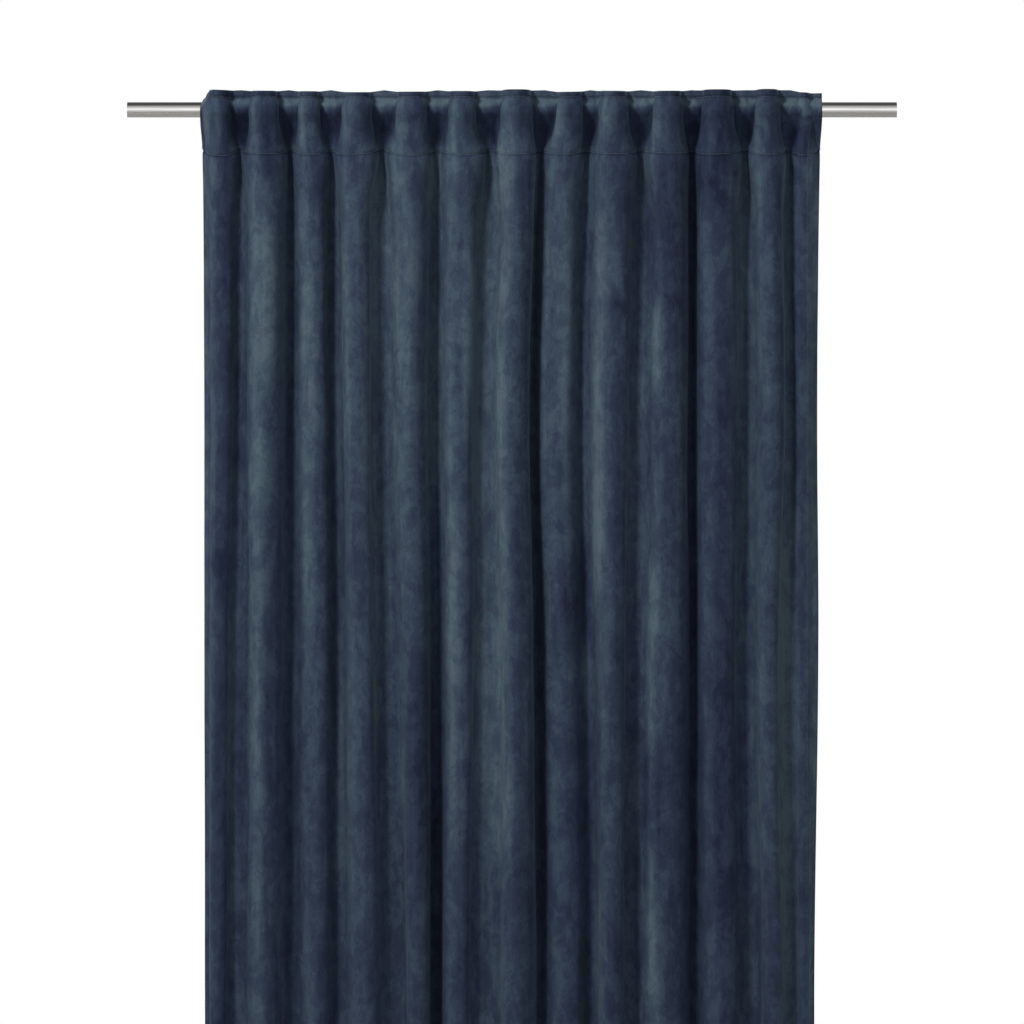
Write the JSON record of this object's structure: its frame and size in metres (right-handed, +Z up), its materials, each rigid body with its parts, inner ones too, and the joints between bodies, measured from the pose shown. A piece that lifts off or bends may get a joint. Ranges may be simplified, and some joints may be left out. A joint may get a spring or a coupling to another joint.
{
  "type": "velvet curtain panel on a curtain rod",
  "caption": "Long velvet curtain panel hanging in soft upright folds from a round steel rod, held by hidden tabs sewn behind its heading.",
  "frame": {"origin": "middle of the rod's axis, where the wall's brackets would hold the rod at the same height", "axes": "+X along the rod to the viewer's right, -Y is the side the cloth's face looks to, +Z up"},
  "size_m": [1.1, 0.0728, 2.4004],
  "materials": {
    "rod_steel": "round tube, brushed along its length",
    "velvet": "dark slate navy velvet with a soft uneven nap",
    "tab_cloth": "dark navy plain woven tape"
  },
  "bodies": {
    "root": {"curtain_rod": "rod_steel", "curtain_panel": "velvet", "back_tab_01": "tab_cloth", "back_tab_02": "tab_cloth", "back_tab_03": "tab_cloth", "back_tab_04": "tab_cloth", "back_tab_05": "tab_cloth", "back_tab_06": "tab_cloth", "back_tab_07": "tab_cloth", "back_tab_08": "tab_cloth", "back_tab_09": "tab_cloth", "back_tab_10": "tab_cloth", "back_tab_11": "tab_cloth", "back_tab_12": "tab_cloth"}
  },
  "joints": []
}
